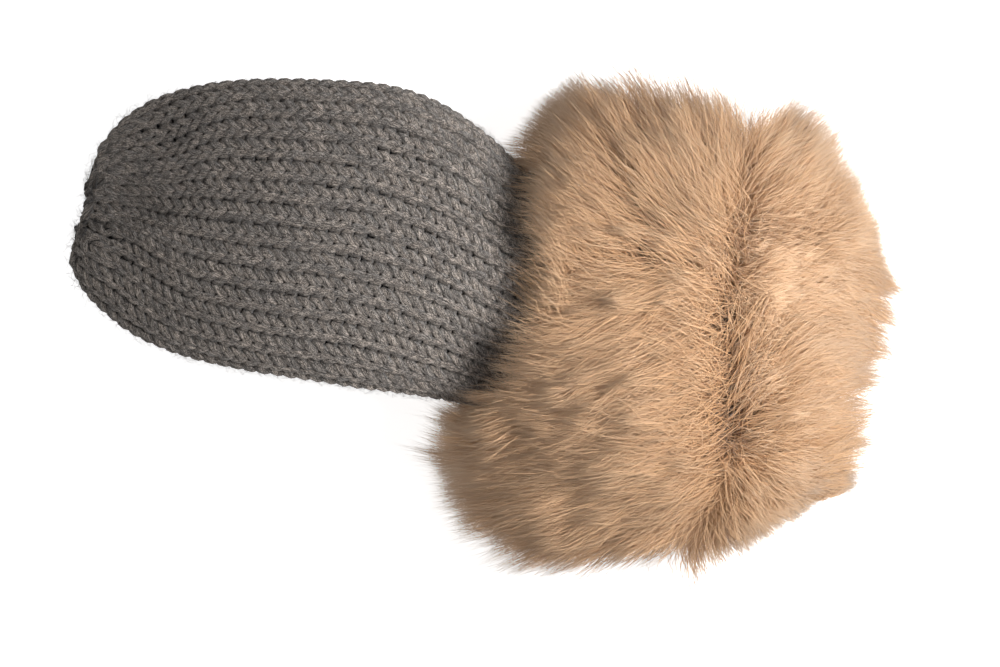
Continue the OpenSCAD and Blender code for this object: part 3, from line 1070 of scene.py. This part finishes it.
def build_rib(material):
    """The ribbed wrist inside the cuff."""
    skin = Skin(sleeve_grid(WRIST_X + 4, RIB_END, -2.6))
    ribbing = knit(skin, RIB_COURSES, RIB_STITCHES, rib=0.5, gauge=RIB_STITCH_WIDTH)
    rib = add_yarn("wrist_rib_knit", ribbing, sides=6)
    wear(rib, material, "cuff")
    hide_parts("wrist_rib")


def build_knit():
    material = wool()
    hand_skin = Skin(hand_grid(0))
    build_hand(material, hand_skin)
    build_thumb_hole(material)
    thumb_skin = Skin(thumb_grid(0))
    build_thumb(material, thumb_skin)
    build_rib(material)
    build_fuzz(hand_skin, thumb_skin)


def fuzz_on(skin, count, first, last):
    """Loose fibres that stand off a knitted skin, as lines of five points."""
    turns = rng.uniform(0, 1, count)
    share = rng.uniform(first, last, count)
    root = skin.place(turns, share, np.full(count, -1.2))
    out = skin.normal(turns, share)
    across = unit(np.cross(out, rng.normal(0, 1, (count, 3))))
    length = rng.uniform(2.5, 6.0, count)[:, None]
    rise = rng.uniform(0.8, 2.6, count)[:, None]
    t = np.linspace(0, 1, 5)[None, :, None]
    curl = rng.normal(0, 0.45, (count, 5, 3)) * np.array([0, 0.6, 1, 1, 0.8])[None, :, None]
    middle = root[:, None] + across[:, None] * length[:, None] * (t - 0.3)
    line = middle + out[:, None] * (rise[:, None] * np.sin(2.4 * t) + 0.2) + curl
    line[..., 2] = np.maximum(line[..., 2], 0.1)
    return line


def build_fuzz(hand_skin, thumb_skin):
    """Two thin layers of stray wool fibres, on the hand and on the thumb."""
    material = fuzz()
    layers = [
        ("hand_knit_fuzz", fuzz_on(hand_skin, HAND_FUZZ, 0.14, 0.97), None),
        ("thumb_knit_fuzz", fuzz_on(thumb_skin, THUMB_FUZZ, 0.12, 0.97), "thumb"),
    ]
    for name, line, body in layers:
        count = len(line)
        fibres = add_fur(name, line, rng.uniform(0.03, 0.05, count), rng.normal(0, 1, count))
        wear(fibres, material, body)
        if body is None:
            bend_with_wrist(fibres)


def build_cloth():
    fleece = cloth("fleece", (0.02, 0.02, 0.022), (0.075, 0.075, 0.08), 900)
    backing = cloth("backing_knit", (0.16, 0.10, 0.06), (0.36, 0.25, 0.16), 700)
    # The linings stop short of the wrist's end and of the tips.
    lining = add_cloth("hand_fleece", hand_grid(2 * KNIT_HALF + 0.3)[::2, 40:-12:2], 1.6, 0.15)
    wear(lining, fleece, "hand")
    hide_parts("hand_lining")
    thumb_lining = add_cloth("thumb_fleece", thumb_grid(2 * KNIT_HALF + 0.3)[::2, 2:-10:2], 1.2, 0.1)
    wear(thumb_lining, fleece, "thumb")
    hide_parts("thumb_lining")
    sleeve_outside = sleeve_grid(WRIST_X + 0.5, OPEN_X - 1.1, BACKING_THICKNESS)
    sleeve = add_cloth("cuff_sleeve", sleeve_outside, BACKING_THICKNESS, 0.12)
    wear(sleeve, backing, "cuff")
    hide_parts("cuff_backing")
    binding = add_binding("hem_tape")
    wear(binding, cloth("binding_tape", (0.15, 0.10, 0.06), (0.32, 0.22, 0.14), 1500), "cuff")
    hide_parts("cuff_hem_binding")


def build_fur():
    material = fur()
    line, width, tone, root_x = fur_strands(FUR_LOCKS, HAIRS_PER_LOCK)
    for place, chosen in (("front", root_x < FUR_FRONT), ("cuff", root_x >= FUR_FRONT)):
        rows = np.flatnonzero(chosen)
        pieces = math.ceil(len(rows) / HAIRS_PER_PIECE)
        for i, part in enumerate(np.array_split(rows, pieces)):
            hairs = add_fur(f"fur_{place}_{i + 1}", line[part], width[part], tone[part])
            if place == "front":
                wear(hairs, material, None)
                bend_with_wrist(hairs)
            else:
                wear(hairs, material, "cuff")
            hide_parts("fur_pile_hand_side", "fur_pile_arm_side")


def dress_trim():
    elastic = cloth("elastic_band", (0.3, 0.24, 0.18), (0.5, 0.42, 0.33), 1800)
    thread = cloth("thread", (0.22, 0.15, 0.1), (0.42, 0.31, 0.21), 2500)
    looks = {
        "wrist_elastic": elastic,
        "front_seam_stitches": thread,
        "hem_stitches": thread,
        "back_seam_stitches": thread,
    }
    for node, material in looks.items():
        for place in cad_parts[node].material_slots:
            place.material = material


studio()
build_knit()
build_cloth()
build_fur()
dress_trim()
